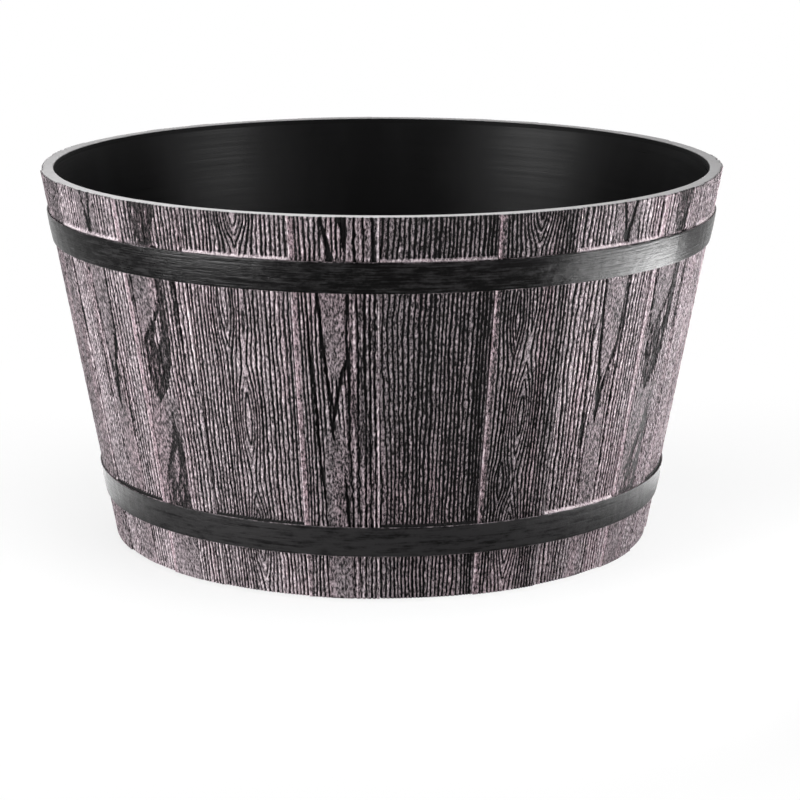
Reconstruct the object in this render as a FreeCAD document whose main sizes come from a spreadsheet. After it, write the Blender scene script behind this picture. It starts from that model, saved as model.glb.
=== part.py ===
"""Half-barrel flower pot: a black inner tub, wood-effect staves round it, two hoops and a rim ring.

The frame has +Z up, its origin on the ground at the middle of the foot, and -Y towards the viewer.
Every conical face is parallel to the outside of the pot, so a radius is the outside radius at that
height plus a horizontal offset. Lengths are millimetres and angles are degrees.
"""
import FreeCAD, Part
import os

import Sketcher
from FreeCAD import Placement, Rotation, Vector

SIZES = (
    ("top_diameter", "400", "outside of the proud staves at the rim"),
    ("base_diameter", "320", "outside of the proud staves at the ground"),
    ("pot_height", "220", "ground to the top of the rim"),
    ("rim_width", "8", "outside of the pot to the inside of the tub"),
    ("rim_thickness", "3", "height of the rim ring above the staves"),
    ("rim_edge", "0.8", "bevel on the rim's top edges"),
    ("rib_width", "1.2", "rib under the rim ring that stands on the tub's flange"),
    ("stave_pairs", "11", "pairs of one wide and one narrow stave"),
    ("wide_stave_share", "0.566", "share of a pair's angle that its wide stave takes"),
    ("stave_phase", "-97.4", "angle from +X to the first narrow stave"),
    ("stave_step", "1", "narrow staves stand this far proud of the wide ones"),
    ("stave_skin", "1", "wall of a hollow-backed stave"),
    ("stave_lift", "1", "ground to the lower end of the staves"),
    ("fit_gap", "0.3", "clearance between pieces that fit together"),
    ("hoop_width", "17.5", "height of a hoop's band"),
    ("hoop_thickness", "1", "band thickness of a hoop"),
    ("hoop_edge", "0.3", "bevel on a hoop's outer edges"),
    ("upper_hoop_drop", "33", "top of the rim to the middle of the upper hoop"),
    ("lower_hoop_height", "35.5", "ground to the middle of the lower hoop"),
    ("seat_ramp", "2", "height of the ramp above a wide stave's hoop seat"),
    ("tub_wall", "1", "wall of the inner tub"),
    ("floor_thickness", "1.6", "floor of the inner tub"),
    ("foot_height", "3", "ground to the underside of the floor"),
    ("foot_width", "5", "standing ring under the tub"),
    ("flange_thickness", "1.2", "flange that the staves hang on"),
    ("corner_radius", "5", "fillet between the tub's floor and wall"),
    ("drain_count", "6", "drain holes in the floor"),
    ("drain_diameter", "12", "one drain hole"),
    ("drain_circle", "200", "diameter of the circle of drain holes"),
    ("notch_width", "14", "drain notch through the standing ring"),
    ("notch_height", "2", "ground to the top of a drain notch"),
    ("cut_overrun", "2", "how far a cut runs past the faces that it opens"),
)


def cone(height, offset="0"):
    """Radius of the pot's outside at a height, plus a horizontal offset, as an expression."""
    slope = "(dims.top_diameter - dims.base_diameter) / 2 / dims.pot_height"
    return f"(dims.base_diameter / 2 + {slope} * ({height}) + ({offset}))"


# Heights above the ground
RIM_TOP = "dims.pot_height"
RIM_BEVEL = "(dims.pot_height - dims.rim_edge)"
RIM_SEAT = "(dims.pot_height - dims.rim_thickness)"
STAVE_RETURN = f"({RIM_SEAT} - dims.stave_skin)"
FLANGE_TOP = f"({STAVE_RETURN} - dims.fit_gap)"
FLANGE_BOTTOM = f"({FLANGE_TOP} - dims.flange_thickness)"
FLANGE_SLOT = f"({FLANGE_BOTTOM} - dims.fit_gap)"
STAVE_FOOT = "dims.stave_lift"
FLOOR_TOP = "(dims.foot_height + dims.floor_thickness)"
HOOP_MIDDLES = {
    "lower": "dims.lower_hoop_height",
    "upper": "(dims.pot_height - dims.upper_hoop_drop)",
}

# Offsets from the outside of the pot
TUB_INSIDE = "-dims.rim_width"
TUB_OUTSIDE = "(dims.tub_wall - dims.rim_width)"
STAVE_BACK = "(dims.tub_wall - dims.rim_width + dims.fit_gap)"
WIDE_FACE = "-dims.stave_step"
WIDE_SKIN = "-(dims.stave_step + dims.stave_skin)"
NARROW_SKIN = "-dims.stave_skin"
HOOP_INSIDE = "dims.fit_gap"
HOOP_OUTSIDE = "(dims.fit_gap + dims.hoop_thickness)"

# Radii of the upright faces where the rim ring, the staves and the tub's flange meet
FLANGE_EDGE = f"({cone(FLANGE_BOTTOM, WIDE_SKIN)} - dims.fit_gap)"
RIB_INSIDE = f"({cone(RIM_SEAT, TUB_OUTSIDE)} + dims.fit_gap)"
RIB_OUTSIDE = f"({RIB_INSIDE} + dims.rib_width)"
RETURN_EDGE = f"({RIB_OUTSIDE} + dims.fit_gap)"

# Angles about the pot's axis
PAIR_ANGLE = "(360 / dims.stave_pairs)"
JOINT_ANGLE = "(360 * dims.fit_gap / (pi * dims.base_diameter))"
SKIN_ANGLE = "(360 * dims.stave_skin / (pi * dims.base_diameter))"
NARROW_PITCH = f"({PAIR_ANGLE} * (1 - dims.wide_stave_share))"
STAVE_ANGLES = {
    "wide": f"({PAIR_ANGLE} * dims.wide_stave_share - {JOINT_ANGLE})",
    "narrow": f"({NARROW_PITCH} - {JOINT_ANGLE})",
}


def add_sheet(doc):
    """The driving dimensions, one row each: value with its alias, and what it measures."""
    sheet = doc.addObject("Spreadsheet::Sheet", "dims")
    for row, (alias, value, meaning) in enumerate(SIZES, start=1):
        sheet.set(f"A{row}", value)
        sheet.setAlias(f"A{row}", alias)
        sheet.set(f"B{row}", meaning)
    doc.recompute()
    return sheet


def add_body(doc, label, turn="0"):
    """A body named for its piece, turned about the pot's axis."""
    body = doc.addObject("PartDesign::Body", label)
    body.Label = label
    body.Placement = Placement(Vector(0, 0, 0), Rotation(Vector(0, 0, 1), 0))
    body.setExpression("Placement.Rotation.Angle", turn)
    return body


def origin_feature(body, role):
    """One of the body's own origin planes or axes."""
    return next(f for f in body.Origin.OriginFeatures if f.Role == role)


def add_sketch(body, name, plane):
    """An empty sketch on one of the body's origin planes."""
    sketch = body.newObject("Sketcher::SketchObject", name)
    sketch.AttachmentSupport = (origin_feature(body, plane), [""])
    sketch.MapMode = "FlatFace"
    return sketch


def bind(sketch, name, constraint, expression):
    """Adds a dimension to a sketch and ties it to the sheet."""
    index = sketch.addConstraint(constraint)
    sketch.renameConstraint(index, name)
    sketch.setExpression(f"Constraints.{name}", expression)


def add_outline(body, name, points, plane="XZ_Plane"):
    """A closed outline of straight lines; each point is a pair of expressions along the sketch's axes."""
    sketch = add_sketch(body, name, plane)
    last = len(points) - 1
    rough = [Vector(n, n * n, 0) for n in range(len(points))]
    for n, start in enumerate(rough):
        sketch.addGeometry(Part.LineSegment(start, rough[n - last]), False)
    for n in range(len(points)):
        sketch.addConstraint(Sketcher.Constraint("Coincident", n, 2, n - last if n == last else n + 1, 1))
    for n, (across, up) in enumerate(points):
        across_constraint = Sketcher.Constraint("DistanceX", -1, 1, n, 1, rough[n].x)
        bind(sketch, f"across_{n}", across_constraint, across)
        up_constraint = Sketcher.Constraint("DistanceY", -1, 1, n, 1, rough[n].y)
        bind(sketch, f"up_{n}", up_constraint, up)
    return sketch


def add_turned(body, kind, name, outline, angle="360"):
    """A Revolution or Groove of an outline about the pot's axis, half of its angle on each side."""
    feature = body.newObject(f"PartDesign::{kind}", name)
    feature.Profile = outline
    feature.ReferenceAxis = (outline, ["V_Axis"])
    feature.Midplane = True
    feature.setExpression("Angle", angle)
    return feature


def add_cut_upwards(body, name, outline, length):
    """A pocket that runs along its sketch's normal."""
    pocket = body.newObject("PartDesign::Pocket", name)
    pocket.Profile = outline
    pocket.Reversed = True
    pocket.setExpression("Length", length)
    return pocket


def add_ring_of(body, name, features, count):
    """Repeats features evenly about the pot's axis."""
    pattern = body.newObject("PartDesign::PolarPattern", name)
    pattern.Originals = features
    pattern.Axis = (origin_feature(body, "Z_Axis"), [""])
    pattern.Angle = 360
    pattern.setExpression("Occurrences", count)
    body.Tip = pattern
    return pattern


def round_edge(name, corner, shape):
    """The shape's circular edge through an outline's corner, as the name that a fillet takes."""
    for number, edge in enumerate(shape.Edges, start=1):
        on_corner = edge.distToShape(Part.Vertex(corner.x, 0, corner.y))[0] < Part.Precision.confusion()
        if isinstance(edge.Curve, Part.Circle) and on_corner:
            return f"Edge{number}"
    raise RuntimeError(f"{name}: no round edge through the corner")


def make_tub(doc):
    """The watertight inner pot: wall, floor with drain holes, notched standing ring and stave flange."""
    body = add_body(doc, "inner_tub")
    foot_outside = cone("0", TUB_OUTSIDE)
    foot_inside = f"({foot_outside} - dims.foot_width)"
    points = [
        (cone(FLOOR_TOP, TUB_INSIDE), FLOOR_TOP),
        ("0", FLOOR_TOP),
        ("0", "dims.foot_height"),
        (foot_inside, "dims.foot_height"),
        (foot_inside, "0"),
        (foot_outside, "0"),
        (cone(FLANGE_BOTTOM, TUB_OUTSIDE), FLANGE_BOTTOM),
        (FLANGE_EDGE, FLANGE_BOTTOM),
        (FLANGE_EDGE, FLANGE_TOP),
        (cone(FLANGE_TOP, TUB_OUTSIDE), FLANGE_TOP),
        (cone(RIM_SEAT, TUB_OUTSIDE), RIM_SEAT),
        (cone(RIM_SEAT, TUB_INSIDE), RIM_SEAT),
    ]
    outline = add_outline(body, "tub_outline", points)
    wall = add_turned(body, "Revolution", "tub_wall_and_floor", outline)
    doc.recompute()

    corner = body.newObject("PartDesign::Fillet", "floor_corner")
    corner.Base = (wall, [round_edge("floor_corner", outline.getPoint(0, 1), wall.Shape)])
    corner.setExpression("Radius", "dims.corner_radius")

    drain_outline = add_sketch(body, "drain_outline", "XY_Plane")
    drain_outline.addGeometry(Part.Circle(Vector(1, 0, 0), Vector(0, 0, 1), 1), False)
    drain_outline.addConstraint(Sketcher.Constraint("PointOnObject", 0, 3, -1))
    bind(drain_outline, "place", Sketcher.Constraint("DistanceX", -1, 1, 0, 3, 1), "dims.drain_circle / 2")
    bind(drain_outline, "size", Sketcher.Constraint("Diameter", 0, 2), "dims.drain_diameter")
    drain = add_cut_upwards(body, "drain_hole", drain_outline, f"{FLOOR_TOP} + dims.cut_overrun")

    half_notch = "dims.notch_width / 2"
    notch_points = [
        (f"-{half_notch}", "-dims.cut_overrun"),
        (half_notch, "-dims.cut_overrun"),
        (half_notch, "dims.notch_height"),
        (f"-{half_notch}", "dims.notch_height"),
    ]
    notch_outline = add_outline(body, "notch_outline", notch_points, "YZ_Plane")
    notch = add_cut_upwards(body, "foot_notch", notch_outline, "dims.base_diameter / 2")
    add_ring_of(body, "drains", [drain, notch], "dims.drain_count")
    return body


def make_rim_ring(doc):
    """The flat ring on top: it covers the tub's edge and the stave ends, and follows the staves' steps."""
    body = add_body(doc, "rim_ring", "dims.stave_phase")
    points = [
        (cone(RIM_SEAT, TUB_INSIDE), RIM_SEAT),
        (RIB_INSIDE, RIM_SEAT),
        (RIB_INSIDE, FLANGE_TOP),
        (RIB_OUTSIDE, FLANGE_TOP),
        (RIB_OUTSIDE, RIM_SEAT),
        (cone(RIM_SEAT, WIDE_FACE), RIM_SEAT),
        (cone(RIM_BEVEL, WIDE_FACE), RIM_BEVEL),
        (cone(RIM_TOP, f"{WIDE_FACE} - dims.rim_edge"), RIM_TOP),
        (cone(RIM_TOP, f"{TUB_INSIDE} + dims.rim_edge"), RIM_TOP),
        (cone(RIM_BEVEL, TUB_INSIDE), RIM_BEVEL),
    ]
    outline = add_outline(body, "ring_outline", points)
    add_turned(body, "Revolution", "ring", outline)

    middle = "-dims.rim_width / 2"
    step_points = [
        (cone(RIM_SEAT, middle), RIM_SEAT),
        (cone(RIM_SEAT), RIM_SEAT),
        (cone(RIM_BEVEL), RIM_BEVEL),
        (cone(RIM_TOP, "-dims.rim_edge"), RIM_TOP),
        (cone(RIM_TOP, middle), RIM_TOP),
    ]
    step_outline = add_outline(body, "step_outline", step_points)
    step = add_turned(body, "Revolution", "step", step_outline, STAVE_ANGLES["narrow"])
    add_ring_of(body, "steps", [step], "dims.stave_pairs")
    return body


def hoop_span(hoop):
    """Lower and upper edge of a hoop, as expressions."""
    middle = HOOP_MIDDLES[hoop]
    return f"({middle} - dims.hoop_width / 2)", f"({middle} + dims.hoop_width / 2)"


def wide_face_points():
    """Outer face of a wide stave from the foot up: set back, and brought out to a seat under each hoop."""
    points = [(cone(STAVE_FOOT, WIDE_FACE), STAVE_FOOT)]
    for hoop in ("lower", "upper"):
        low, high = hoop_span(hoop)
        ramp_top = f"({high} + dims.seat_ramp)"
        points += [
            (cone(low, WIDE_FACE), low),
            (cone(low), low),
            (cone(high), high),
            (cone(ramp_top, WIDE_FACE), ramp_top),
        ]
    return points + [(cone(RIM_SEAT, WIDE_FACE), RIM_SEAT)]


def narrow_face_points():
    """Outer face of a narrow stave, straight from the foot to the rim."""
    return [(cone(STAVE_FOOT), STAVE_FOOT), (cone(RIM_SEAT), RIM_SEAT)]


def make_stave(doc, width, number, turn):
    """One stave: a hollow-backed board that hooks over the tub's flange below the rim ring."""
    label = f"{width}_stave_{number:02d}"
    body = add_body(doc, label, turn)
    angle = STAVE_ANGLES[width]
    skin = WIDE_SKIN if width == "wide" else NARROW_SKIN
    face = wide_face_points() if width == "wide" else narrow_face_points()
    board_points = face + [
        (RETURN_EDGE, RIM_SEAT),
        (RETURN_EDGE, STAVE_RETURN),
        (cone(STAVE_RETURN, STAVE_BACK), STAVE_RETURN),
        (cone(STAVE_FOOT, STAVE_BACK), STAVE_FOOT),
    ]
    board_outline = add_outline(body, f"{label}_board_outline", board_points)
    add_turned(body, "Revolution", f"{label}_board", board_outline, angle)

    open_back = f"{STAVE_BACK} - dims.cut_overrun"
    hollow_foot = f"({STAVE_FOOT} + dims.stave_skin)"
    hollow_points = [
        (cone(hollow_foot, open_back), hollow_foot),
        (cone(hollow_foot, skin), hollow_foot),
        (cone(FLANGE_BOTTOM, skin), FLANGE_BOTTOM),
        (cone(FLANGE_BOTTOM, open_back), FLANGE_BOTTOM),
    ]
    hollow_outline = add_outline(body, f"{label}_hollow_outline", hollow_points)
    add_turned(body, "Groove", f"{label}_hollow", hollow_outline, f"{angle} - 2 * {SKIN_ANGLE}")

    slot_edge = f"({FLANGE_EDGE} + dims.fit_gap)"
    slot_points = [
        (cone(FLANGE_SLOT, open_back), FLANGE_SLOT),
        (slot_edge, FLANGE_SLOT),
        (slot_edge, STAVE_RETURN),
        (cone(FLANGE_SLOT, open_back), STAVE_RETURN),
    ]
    slot_outline = add_outline(body, f"{label}_slot_outline", slot_points)
    add_turned(body, "Groove", f"{label}_slot", slot_outline, PAIR_ANGLE)
    return body


def make_hoop(doc, hoop):
    """One hoop: a thin band round all the staves, with bevelled outer edges."""
    body = add_body(doc, f"{hoop}_hoop")
    low, high = hoop_span(hoop)
    bevel = f"{HOOP_OUTSIDE} - dims.hoop_edge"
    points = [
        (cone(low, HOOP_INSIDE), low),
        (cone(low, bevel), low),
        (cone(f"{low} + dims.hoop_edge", HOOP_OUTSIDE), f"{low} + dims.hoop_edge"),
        (cone(f"{high} - dims.hoop_edge", HOOP_OUTSIDE), f"{high} - dims.hoop_edge"),
        (cone(high, bevel), high),
        (cone(high, HOOP_INSIDE), high),
    ]
    outline = add_outline(body, f"{hoop}_hoop_outline", points)
    add_turned(body, "Revolution", f"{hoop}_hoop_band", outline)
    return body


def make_staves(doc, pairs):
    """All the staves, narrow and wide by turns, evenly round the tub."""
    staves = []
    for number in range(1, pairs + 1):
        narrow_turn = f"dims.stave_phase + {number - 1} * {PAIR_ANGLE}"
        staves.append(make_stave(doc, "narrow", number, narrow_turn))
        staves.append(make_stave(doc, "wide", number, f"{narrow_turn} + {PAIR_ANGLE} / 2"))
    return staves


def check(doc, bodies):
    """Stops the build if a feature failed or a piece isn't one valid solid."""
    for item in doc.Objects:
        if {"Invalid", "Error"} & set(item.State):
            raise RuntimeError(f"{item.Name} failed: {item.State}")
    for body in bodies:
        shape = body.Shape
        if shape.isNull() or not shape.isValid() or len(shape.Solids) != 1:
            raise RuntimeError(f"{body.Label} is not one valid solid")


def main():
    doc = FreeCAD.newDocument("half_barrel_pot")
    sheet = add_sheet(doc)
    bodies = [make_tub(doc), make_rim_ring(doc), make_hoop(doc, "upper"), make_hoop(doc, "lower")]
    bodies += make_staves(doc, int(sheet.stave_pairs))
    doc.recompute()
    check(doc, bodies)
    os.makedirs("parts", exist_ok=True)
    for body in bodies:
        body.Shape.exportStep(f"parts/{body.Label}.step")
    print(f"{len(bodies)} pieces, {sum(b.Shape.Volume for b in bodies) / 1000:.0f} cubic centimetres")


main()
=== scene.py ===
"""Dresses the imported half-barrel pot: embossed staves, hoops, rim and tub, on a white studio stage.

Lengths are metres in the pot's own frame: +Z up, the origin on the ground, -Y towards the viewer.
"""
import math
from typing import NamedTuple

import bmesh
import bpy
import numpy as np
from bpy.props import FloatProperty, FloatVectorProperty, IntProperty, PointerProperty
from bpy.types import Operator, Panel, PropertyGroup
from mathutils import Euler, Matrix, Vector


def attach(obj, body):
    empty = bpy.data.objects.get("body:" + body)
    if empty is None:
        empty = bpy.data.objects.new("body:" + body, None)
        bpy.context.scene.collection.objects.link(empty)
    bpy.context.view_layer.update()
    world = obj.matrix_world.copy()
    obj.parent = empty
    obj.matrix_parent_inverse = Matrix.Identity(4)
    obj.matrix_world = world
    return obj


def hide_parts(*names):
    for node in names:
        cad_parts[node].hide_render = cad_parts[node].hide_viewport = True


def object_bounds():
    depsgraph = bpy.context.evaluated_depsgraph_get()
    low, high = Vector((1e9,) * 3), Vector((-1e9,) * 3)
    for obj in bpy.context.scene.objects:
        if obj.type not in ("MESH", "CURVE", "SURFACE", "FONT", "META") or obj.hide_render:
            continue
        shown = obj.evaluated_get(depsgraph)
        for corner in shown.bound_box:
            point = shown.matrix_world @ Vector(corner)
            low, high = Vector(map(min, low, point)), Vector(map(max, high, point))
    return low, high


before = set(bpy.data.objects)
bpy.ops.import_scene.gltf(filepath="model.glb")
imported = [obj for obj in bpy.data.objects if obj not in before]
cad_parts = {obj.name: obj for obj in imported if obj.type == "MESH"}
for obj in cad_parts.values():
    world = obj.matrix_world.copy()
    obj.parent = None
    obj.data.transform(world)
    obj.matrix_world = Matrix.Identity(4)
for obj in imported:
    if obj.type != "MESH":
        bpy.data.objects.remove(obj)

bl_info = {
    "name": "Half-barrel pot",
    "version": (1, 0, 0),
    "blender": (4, 5, 0),
    "location": "3D View > Sidebar > Pot",
    "description": "Wood-effect staves, hoops, rim and tub of a half-barrel flower pot",
    "category": "Object",
}

CAD_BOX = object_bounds()
BODY = "root"
DEGREE = 3.2        # millimetres round the pot for one degree, halfway up
LATTICE = 128       # nodes each way before the noise repeats


def length(name, description, default):
    """A property that holds a length in metres."""
    return FloatProperty(name=name, description=description, default=default, unit="LENGTH")


def tint(name, description, default):
    """A property that holds a colour, in linear red, green and blue."""
    return FloatVectorProperty(name=name, description=description, default=default, subtype="COLOR", size=3)


def real(name, description, default, subtype):
    """A property that holds an angle in radians or a factor."""
    return FloatProperty(name=name, description=description, default=default, subtype=subtype)


def whole(name, description, default):
    """A property that holds a count."""
    return IntProperty(name=name, description=description, default=default, subtype="UNSIGNED")


class PotSizes(PropertyGroup):
    """The pot's own sizes, as its solids have them."""
    height: length("Height", "Ground to the top of the rim", float(CAD_BOX[1][2]))
    top_radius: length("Top radius", "Outside of the narrow staves at the rim", 0.2)
    base_radius: length("Base radius", "Outside of the narrow staves at the ground", 0.16)
    rim_width: length("Rim width", "Outside of the pot to the inside of the tub", 0.008)
    rim_thickness: length("Rim thickness", "Height of the rim ring", 0.003)
    rim_edge: length("Rim edge", "Rounding of the rim's top edges", 0.0008)
    rib_width: length("Rib width", "Rib under the rim ring", 0.0012)
    pairs: whole("Stave pairs", "Pairs of one wide and one narrow stave", 11)
    wide_share: real("Wide share", "Share of a pair that its wide stave takes", 0.566, "FACTOR")
    phase: real("Phase", "Angle from +X to the first narrow stave", math.radians(-97.4), "ANGLE")
    stave_step: length("Stave step", "How far narrow staves stand proud", 0.001)
    stave_skin: length("Stave skin", "Thickness of a stave's hook over the flange", 0.001)
    stave_lift: length("Stave lift", "Ground to the lower end of the staves", 0.001)
    gap: length("Fit gap", "Clearance between neighbouring pieces", 0.0003)
    hoop_width: length("Hoop width", "Height of a hoop's band", 0.0175)
    hoop_thickness: length("Hoop thickness", "Thickness of a hoop's band", 0.001)
    upper_hoop: length("Upper hoop", "Ground to the middle of the upper hoop", 0.187)
    lower_hoop: length("Lower hoop", "Ground to the middle of the lower hoop", 0.0355)
    seat_ramp: length("Seat ramp", "Ramp above a wide stave's hoop seat", 0.002)
    tub_wall: length("Tub wall", "Wall of the inner tub", 0.001)
    floor_thickness: length("Floor", "Thickness of the tub's floor", 0.0016)
    foot_height: length("Foot height", "Ground to the underside of the floor", 0.003)
    foot_width: length("Foot width", "Standing ring under the tub", 0.005)
    flange: length("Flange", "Flange that the staves hang on", 0.0012)
    corner: length("Corner", "Rounding between the tub's floor and wall", 0.005)
    drains: whole("Drains", "Drain holes in the floor", 6)
    drain_radius: length("Drain radius", "Radius of a drain hole", 0.006)
    drain_circle: length("Drain circle", "Radius of the circle of drain holes", 0.1)
    notch_width: length("Notch width", "Drain notch through the standing ring", 0.014)
    notch_height: length("Notch height", "Height of a drain notch", 0.002)


class GrainSizes(PropertyGroup):
    """How deep and how fine the embossed grain is."""
    depth: length("Ring depth", "Depth of a ring's groove", 0.0010)
    band_depth: length("Band depth", "Extra depth of the dark bands and knots", 0.0005)
    pebble: length("Pebble depth", "Depth of the fine pebbling over the whole face", 0.00009)
    row_pitch: length("Row pitch", "Height of one row of the surface", 0.0009)
    column_pitch: real("Column pitch", "Angle of one column of the surface", math.radians(0.118), "ANGLE")
    edge: length("Edge rounding", "Rounding of a stave's long edges", 0.0005)


class Finishes(PropertyGroup):
    """Colours of the finishes."""
    charcoal: tint("Charcoal", "Bare plastic in the grooves of the grain", (0.0045, 0.0044, 0.0045))
    rose: tint("Rose paint", "Dry-brushed paint on the strips along the joints", (0.278, 0.207, 0.229))
    ash: tint("Ash paint", "Dry-brushed paint on the grain", (0.222, 0.189, 0.202))
    # The palest specks stand partly for heavy paint and partly for painted glints.
    chalk_and_glint: tint("Chalk paint", "Thick paint on the tops of the finest specks", (0.505, 0.44, 0.462))
    hoop: tint("Hoop black", "Satin black of the hoops", (0.0018, 0.0017, 0.0018))
    tub: tint("Tub black", "Smooth black of the inner tub", (0.0065, 0.0065, 0.0068))
    rim: tint("Rim grey", "Light grey of the flat rim", (0.60, 0.59, 0.595))


class StageSettings(PropertyGroup):
    """The camera and the studio."""
    distance: length("Distance", "Camera to the pot's axis, along the ground", 1.56446)
    eye_height: length("Eye height", "Camera above the ground", 0.45106)
    pitch: real("Pitch", "How far the camera looks down", 0.2358, "ANGLE")
    lens: FloatProperty(name="Lens", description="Focal length on a 36 mm frame",
                        default=120.34, unit="CAMERA")
    shift: real("Shift", "Sideways shift of the frame", 0.0231, "FACTOR")
    floor_radius: length("Floor radius", "Radius of the studio floor", 8.0)
    shadow: real("Shadow", "How much of the floor's own shading shows", 0.22, "FACTOR")
    ambient: real("Ambient", "Strength of the room's even light", 0.04, "FACTOR")


class Grain(NamedTuple):
    """One board's figure: heights in millimetres, places across in degrees from the board's middle."""
    pitch: float            # degrees between growth rings
    cover: float = 0.0      # how much thicker the paint is than on a plain board
    rise: tuple = ()        # (heights, rings) that arches climb along their middle line; none if straight
    reach: tuple = ()       # (heights, degrees) over which the arches die away to the sides
    middle: tuple = ()      # (heights, places) of the arches' middle line
    eyes: tuple = ()        # lens-shaped rings: (place, height, half width, half height, rings)
    calm: tuple = ()        # speckled fields without rings: (heights, left places, right places)
    still: tuple = ()       # one field with faint rings: the same
    bands: tuple = ()       # dark bands and knots: (heights, places, half widths, share of the full depth)
    islands: tuple = ()     # raised slivers in the bands and knots: (heights, places, half widths)


# Fields, bands and islands of the forked, the split and the knotted boards
FORKED_FIELDS = (
    ((97, 115, 130, 150, 178, 220), (0.1, -0.1, -0.9, -1.5, -2.1, -2.4), (0.2, 0.8, 2.0, 3.0, 3.2, 3.6)),
    ((0, 26, 45, 70, 95, 112), (-1.6, -1.6, -1.0, -1.4, -1.4, -0.3), (2.6, 2.6, 2.8, 2.9, 2.4, 1.0)),
)
FORKED_BANDS = (
    ((95, 99, 105, 115, 122, 130, 150, 178), (0.1, 0.1, 0.05, -0.1, -0.4, -0.9, -1.5, -2.15),
     (0.1, 0.4, 0.35, 0.3, 0.32, 0.28, 0.22, 0.2), 0.6),
    ((95, 99, 105, 115, 122, 128, 135, 142, 150, 178), (0.2, 0.2, 0.35, 0.8, 1.15, 1.9, 2.6, 3.0, 3.1, 3.2),
     (0.1, 0.4, 0.35, 0.28, 0.3, 0.4, 0.5, 0.4, 0.26, 0.2), 0.6),
    ((50, 80, 110, 150, 160), (-1.1, -2.4, -2.95, -3.5, -3.6), (0.1, 0.2, 0.24, 0.18, 0.05), 0.62),
    ((55, 75, 110, 126), (3.5, 3.45, 3.45, 3.4), (0.05, 0.18, 0.22, 0.16), 0.62),
    ((198, 206, 220), (0.8, 0.4, -0.4), (0.4, 0.3, 0.22), 0.62),
    ((198, 206, 220), (1.0, 1.4, 2.3), (0.4, 0.3, 0.22), 0.62),
)
SPLIT_FIELDS = (
    ((132, 140, 155, 178, 196), (-1.0, -1.6, -2.0, -2.5, -2.8), (0.8, 1.3, 1.7, 1.8, 1.8)),
    ((0, 26, 45, 70, 95, 105), (-2.8, -2.8, -2.7, -2.7, -2.3, -1.5), (1.6, 1.6, 1.8, 1.6, 1.2, 0.4)),
)
SPLIT_BANDS = (
    ((96, 104, 115, 130, 150, 178, 190), (-0.9, -0.9, -1.1, -1.7, -2.3, -2.8, -3.0),
     (0.1, 0.34, 0.32, 0.29, 0.25, 0.22, 0.22), 0.9),
    ((96, 104, 115, 125, 133, 140), (-0.9, -0.8, -0.3, 0.3, 0.9, 1.7),
     (0.1, 0.24, 0.24, 0.26, 0.42, 0.22), 0.9),
    ((45, 70, 90, 110, 150, 166), (-2.6, -3.1, -3.5, -3.7, -4.4, -4.6),
     (0.1, 0.18, 0.22, 0.22, 0.18, 0.05), 0.84),
    ((0, 40, 70, 100, 120, 150, 190), (2.2, 2.3, 2.1, 1.9, 2.0, 2.0, 1.9),
     (0.12, 0.14, 0.16, 0.18, 0.24, 0.36, 0.24), 0.84),
    ((0, 40, 100, 140, 190), (3.4, 3.5, 3.4, 3.6, 3.4), (0.12, 0.14, 0.2, 0.2, 0.16), 0.84),
    ((0, 40, 100, 140, 190), (4.5, 4.6, 4.8, 4.6, 4.7), (0.12, 0.14, 0.18, 0.24, 0.24), 0.84),
    ((0, 40, 110, 190), (5.6, 5.6, 5.5, 5.6), (0.12, 0.14, 0.18, 0.14), 0.95),
    ((0, 60, 120, 190), (6.4, 6.5, 6.3, 6.4), (0.1, 0.12, 0.14, 0.12), 0.9),
    ((45, 62, 75), (1.5, 1.2, 0.9), (0.3, 0.22, 0.05), 0.9),
    ((96, 112, 128), (3.0, 2.8, 2.7), (0.1, 0.5, 0.1), 0.4),
    ((84, 104, 132), (4.0, 4.1, 4.2), (0.1, 0.4, 0.1), 0.35),
    ((196, 205, 220), (-0.7, -1.0, -1.8), (0.5, 0.36, 0.26), 0.84),
    ((202, 210, 220), (1.6, 1.7, 1.4), (0.1, 0.45, 0.75), 0.84),
    ((196, 220), (6.2, 6.0), (0.2, 0.24), 0.84),
    ((196, 220), (4.7, 4.6), (0.12, 0.14), 0.9),
    ((196, 220), (3.3, 3.2), (0.2, 0.2), 0.84),
)
SPLIT_ISLANDS = (
    ((106, 112, 118), (-0.95, -0.95, -0.9), (0.04, 0.14, 0.04)),
    ((128, 133, 138), (0.9, 1.0, 1.2), (0.04, 0.16, 0.04)),
    ((146, 156, 166), (2.05, 2.05, 2.0), (0.04, 0.12, 0.04)),
)
KNOTTED_FIELDS = (
    ((140, 150, 165, 178, 196), (-5.0, -5.2, -5.2, -5.2, -5.2), (-4.6, -2.6, 0.1, 0.4, 0.4)),
    ((0, 26, 45, 70, 95, 108), (-6.0, -5.8, -5.6, -5.6, -5.4, -4.8), (1.0, 1.0, 1.2, 1.0, 1.6, 1.8)),
)
# A share under 1 leaves the bare knots partly painted, so they render grey; that grey stands partly for
# painted sheen on their bare plastic.
KNOTTED_BANDS = (
    ((106, 110, 114, 120, 128, 135, 141, 146, 150, 155, 160, 165, 178, 196),
     (-2.65, -2.35, -2.15, -1.9, -1.7, -1.55, -1.4, -0.8, -0.15, 0.4, 0.75, 1.15, 1.2, 1.2),
     (0.1, 0.85, 1.75, 2.4, 2.9, 3.15, 3.2, 2.7, 2.05, 1.5, 1.15, 0.75, 0.7, 0.7), 0.52),
    ((45, 52, 60, 68, 76, 84, 92, 101), (-1.7, -1.6, -1.4, -1.0, -0.5, 0.0, -0.1, -0.05),
     (3.0, 2.9, 2.75, 2.4, 1.9, 1.35, 0.5, 0.1), 0.29),
    ((198, 204, 212, 220), (-0.5, -0.7, -0.55, -0.35), (1.4, 1.9, 2.45, 2.65), 0.52),
    ((130, 150, 178, 190), (4.8, 4.6, 4.6, 4.6), (0.05, 0.2, 0.28, 0.28), 0.9),
    ((143, 155, 178, 190), (-4.8, -5.3, -5.5, -5.5), (0.08, 0.12, 0.12, 0.12), 0.9),
)
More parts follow.
